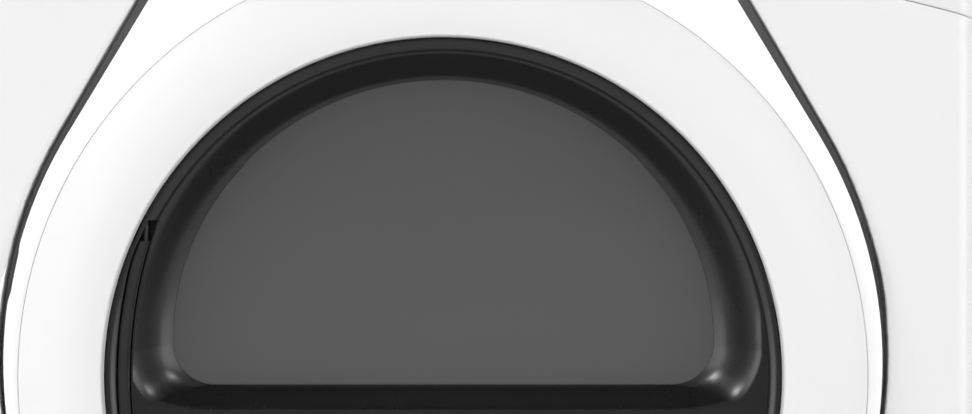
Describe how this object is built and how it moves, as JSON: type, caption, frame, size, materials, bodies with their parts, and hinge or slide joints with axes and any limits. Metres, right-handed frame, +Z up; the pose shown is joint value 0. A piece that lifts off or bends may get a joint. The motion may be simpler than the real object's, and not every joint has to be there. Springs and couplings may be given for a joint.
{
  "type": "clothes dryer",
  "caption": "Front-loading tumble dryer with a round side-hinged door, a D-shaped window, a belt-driven drum and a rear exhaust collar.",
  "frame": {"origin": "on the floor under the middle of the overall box", "axes": "+Z up, the front with the door faces -Y, +X to the right of someone facing the front"},
  "size_m": [0.686, 0.787, 0.984],
  "materials": {
    "white_enamel": "gloss enamel",
    "white_plastic": "gloss moulding",
    "black_gloss": "polished black",
    "black_matte": "fine texture",
    "smoked_glass": "smoked",
    "galvanised": "spangled zinc",
    "steel": "plain",
    "chrome": "polished",
    "grey_rubber": "matt",
    "black_rubber": "matt",
    "felt": "felt",
    "grey_plastic": "moulded",
    "motor_alloy": "cast and turned",
    "coil_wire": "oxidised wire",
    "board_green": "circuit board",
    "lens_clear": "frosted",
    "screen_blue": "mesh frame"
  },
  "bodies": {
    "cabinet": {"base_pan": "galvanised", "left_side_panel": "white_enamel", "right_side_panel": "white_enamel", "back_panel": "galvanised", "top_panel": "white_enamel", "front_panel": "white_enamel", "door_recess": "grey_plastic", "front_bulkhead": "galvanised", "rear_bulkhead": "galvanised", "drum_seals": "felt", "console_shell": "white_plastic", "console_fascia": "black_gloss", "display_window": "smoked_glass", "control_board": "board_green", "door_catch": "white_plastic", "door_switch_body": "white_plastic", "hinge_brackets": "steel", "hinge_pins": "steel", "roller_shafts": "steel", "drum_belt": "black_rubber", "motor_housing": "motor_alloy", "motor_mount": "galvanised", "blower_housing": "grey_plastic", "exhaust_duct": "galvanised", "heater_box": "galvanised", "heater_coil": "coil_wire", "safety_thermostats": "black_matte", "mains_terminal": "galvanised", "moisture_bars": "chrome", "drum_light": "lens_clear", "cabinet_screws": "steel", "lint_duct": "grey_plastic"},
    "door": {"door_frame": "white_plastic", "door_ring": "white_plastic", "door_bowl": "black_gloss", "door_window": "smoked_glass", "door_liner": "white_plastic", "door_seal": "grey_rubber", "hinge_arms": "steel", "door_strike": "steel", "door_screws": "steel", "handle_pocket": "black_matte"},
    "handle_lever": {"handle_lever": "black_matte"},
    "drum": {"drum_shell": "white_enamel", "drum_baffles": "white_plastic"},
    "rear_left_roller": {"rear_left_roller": "black_rubber"},
    "rear_right_roller": {"rear_right_roller": "black_rubber"},
    "motor_rotor": {"motor_rotor": "steel", "blower_wheel": "grey_plastic"},
    "idler_arm": {"idler_arm": "steel"},
    "idler_pulley": {"idler_pulley": "grey_plastic"},
    "lint_screen": {"lint_screen": "screen_blue"},
    "cycle_knob": {"cycle_knob": "chrome"},
    "start_button": {"start_button": "white_plastic"},
    "power_button": {"power_button": "white_plastic"},
    "door_switch_plunger": {"door_switch_plunger": "black_matte"},
    "front_left_foot": {"front_left_foot": "black_rubber"},
    "front_right_foot": {"front_right_foot": "black_rubber"},
    "rear_left_foot": {"rear_left_foot": "black_rubber"},
    "rear_right_foot": {"rear_right_foot": "black_rubber"}
  },
  "joints": [
    {"name": "door_swing", "type": "hinge", "parent": "cabinet", "child": "door", "pos_m": [0.25, -0.3655, 0.545], "axis": [0, 0, 1], "range_deg": [0, 90]},
    {"name": "handle_pull", "type": "hinge", "parent": "door", "child": "handle_lever", "pos_m": [-0.1913, -0.3503, 0.545], "axis": [0, 0, 1], "range_deg": [0, 9], "stiffness_Nm_per_rad": 0.3, "springref_deg": -5.73},
    {"name": "drum_spin", "type": "hinge", "parent": "cabinet", "child": "drum", "pos_m": [0, -0.0145, 0.56], "axis": [0, 1, 0], "continuous": true},
    {"name": "rear_left_roller_spin", "type": "hinge", "parent": "cabinet", "child": "rear_left_roller", "pos_m": [-0.18574, 0.2405, 0.26276], "axis": [0, 1, 0], "continuous": true},
    {"name": "rear_right_roller_spin", "type": "hinge", "parent": "cabinet", "child": "rear_right_roller", "pos_m": [0.18574, 0.2405, 0.26276], "axis": [0, 1, 0], "continuous": true},
    {"name": "motor_spin", "type": "hinge", "parent": "cabinet", "child": "motor_rotor", "pos_m": [0.06, -0.0645, 0.135], "axis": [0, 1, 0], "continuous": true},
    {"name": "idler_arm_swing", "type": "hinge", "parent": "cabinet", "child": "idler_arm", "pos_m": [-0.02, 0.0255, 0.1], "axis": [0, -1, 0], "range_deg": [0, 10], "stiffness_Nm_per_rad": 4, "springref_deg": -8.59},
    {"name": "idler_spin", "type": "hinge", "parent": "idler_arm", "child": "idler_pulley", "pos_m": [-0.015, 0.0405, 0.165], "axis": [0, 1, 0], "continuous": true},
    {"name": "lint_screen_lift", "type": "slide", "parent": "cabinet", "child": "lint_screen", "axis": [0, 0, 1], "range_m": [0, 0.2]},
    {"name": "knob_turn", "type": "hinge", "parent": "cabinet", "child": "cycle_knob", "pos_m": [0, -0.3745, 0.892], "axis": [0, -1, 0], "continuous": true},
    {"name": "start_press", "type": "slide", "parent": "cabinet", "child": "start_button", "axis": [0, 1, 0], "range_m": [0, 0.0015], "stiffness_N_per_m": 600, "springref_m": -0.001},
    {"name": "power_press", "type": "slide", "parent": "cabinet", "child": "power_button", "axis": [0, 1, 0], "range_m": [0, 0.0015], "stiffness_N_per_m": 600, "springref_m": -0.001},
    {"name": "door_switch_press", "type": "slide", "parent": "cabinet", "child": "door_switch_plunger", "axis": [0, 1, 0], "range_m": [0, 0.0035], "stiffness_N_per_m": 300, "springref_m": -0.002},
    {"name": "front_left_foot_turn", "type": "hinge", "parent": "cabinet", "child": "front_left_foot", "pos_m": [-0.3, -0.3195, 0.02], "axis": [0, 0, 1], "continuous": true},
    {"name": "front_right_foot_turn", "type": "hinge", "parent": "cabinet", "child": "front_right_foot", "pos_m": [0.3, -0.3195, 0.02], "axis": [0, 0, 1], "continuous": true},
    {"name": "rear_left_foot_turn", "type": "hinge", "parent": "cabinet", "child": "rear_left_foot", "pos_m": [-0.3, 0.3065, 0.02], "axis": [0, 0, 1], "continuous": true},
    {"name": "rear_right_foot_turn", "type": "hinge", "parent": "cabinet", "child": "rear_right_foot", "pos_m": [0.3, 0.3065, 0.02], "axis": [0, 0, 1], "continuous": true}
  ],
  "couplings": [
    {"joint": "rear_left_roller_spin", "follows": "drum_spin", "ratio": -9},
    {"joint": "rear_right_roller_spin", "follows": "drum_spin", "ratio": -9},
    {"joint": "motor_spin", "follows": "drum_spin", "ratio": 31.5},
    {"joint": "idler_spin", "follows": "drum_spin", "ratio": -11.25}
  ]
}
